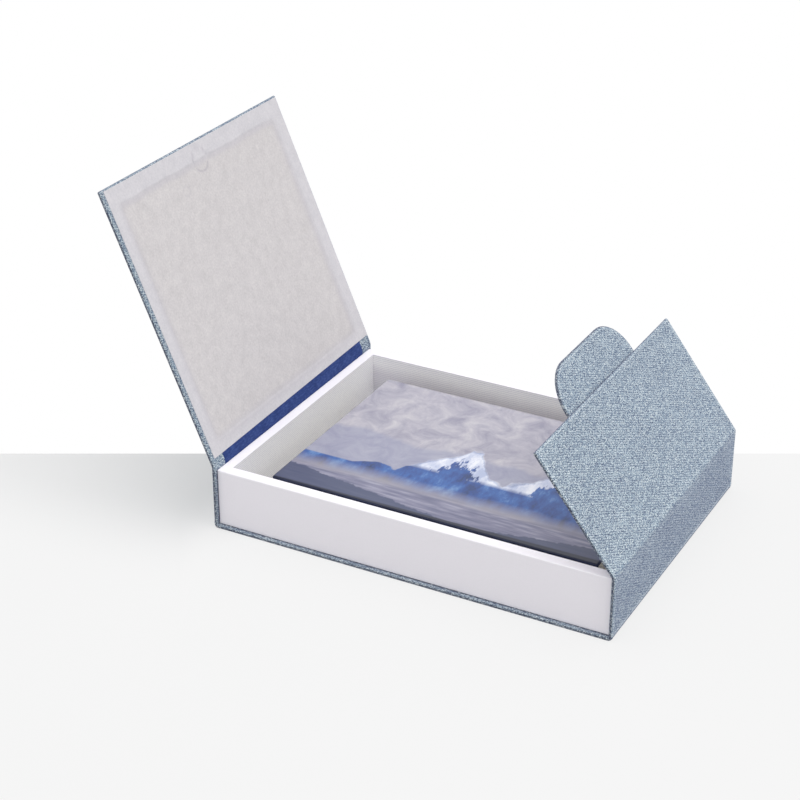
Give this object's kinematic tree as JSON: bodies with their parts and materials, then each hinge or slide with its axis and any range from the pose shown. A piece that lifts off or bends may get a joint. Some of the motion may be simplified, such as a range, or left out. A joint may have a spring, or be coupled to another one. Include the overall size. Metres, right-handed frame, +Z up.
{
  "type": "photo storage box",
  "caption": "Flat cloth-covered storage box: a case whose lid and tabbed flap fold over a deep tray and close by magnets, with a photo album inside.",
  "frame": {"origin": "centre of the case's underside, on the surface that the box stands on", "axes": "+X from the lid's spine to the flap's spine, +Y from the front to the rear, +Z up"},
  "size_m": [0.4497, 0.264, 0.2791],
  "materials": {
    "cover_cloth": "blue-grey bookcloth in plain weave with fine light flecks",
    "hinge_strip_cloth": "royal blue bookcloth strip with fine streaks",
    "greyboard": "solid pressed grey bookbinding board, hidden by cloth and paper",
    "wall_board": "solid laminated paperboard, hidden by paper",
    "lining_paper": "pale lilac-white lining paper, matt, faintly mottled",
    "tray_paper": "off-white linen-embossed paper",
    "tray_lining_paper": "light grey linen-embossed paper",
    "magnet_metal": "nickel-plated disc, hidden in its board",
    "album_cover": "near-black navy leatherette",
    "album_page": "thick ivory album pages",
    "album_picture": null
  },
  "bodies": {
    "root": {"base_cloth": "cover_cloth", "base_board": "greyboard", "lid_spine_cloth": "cover_cloth", "lid_spine_board": "greyboard", "flap_spine_cloth": "cover_cloth", "flap_spine_board": "greyboard", "lid_hinge_cloth": "cover_cloth", "lid_hinge_strip": "hinge_strip_cloth", "flap_hinge_cloth": "cover_cloth", "flap_hinge_strip": "hinge_strip_cloth", "tray_floor_board": "greyboard", "tray_front_wall": "wall_board", "tray_rear_wall": "wall_board", "tray_left_wall": "wall_board", "tray_right_wall": "wall_board", "tray_wrap": "tray_paper", "tray_wall_lining": "tray_lining_paper", "tray_floor_lining": "tray_lining_paper"},
    "lid": {"lid_cloth": "cover_cloth", "lid_board": "greyboard", "lid_lining": "lining_paper", "lid_magnet": "magnet_metal"},
    "flap": {"flap_cloth": "cover_cloth", "flap_board": "greyboard", "flap_lining": "lining_paper", "tab_cloth": "cover_cloth", "tab_board": "greyboard", "tab_lining": "lining_paper", "tab_magnet": "magnet_metal"},
    "album": {"album_back_cover": "album_cover", "album_front_cover": "album_cover", "album_spine": "album_cover", "album_pages": "album_page", "album_print": "album_picture"}
  },
  "joints": [
    {"name": "lid_hinge", "type": "hinge", "parent": "root", "child": "lid", "pos_m": [-0.1771, 0, 0.0567], "axis": [0, -1, 0], "range_deg": [-113.3, 79.7], "deforming": ["lid_hinge_cloth", "lid_hinge_strip"]},
    {"name": "flap_hinge", "type": "hinge", "parent": "root", "child": "flap", "pos_m": [0.1771, 0, 0.0565], "axis": [0, 1, 0], "range_deg": [-52.7, 149.8], "deforming": ["flap_hinge_cloth", "flap_hinge_strip"]},
    {"name": "album_lift", "type": "slide", "parent": "root", "child": "album", "axis": [0, 0, 1], "range_m": [0, 0.007]}
  ]
}
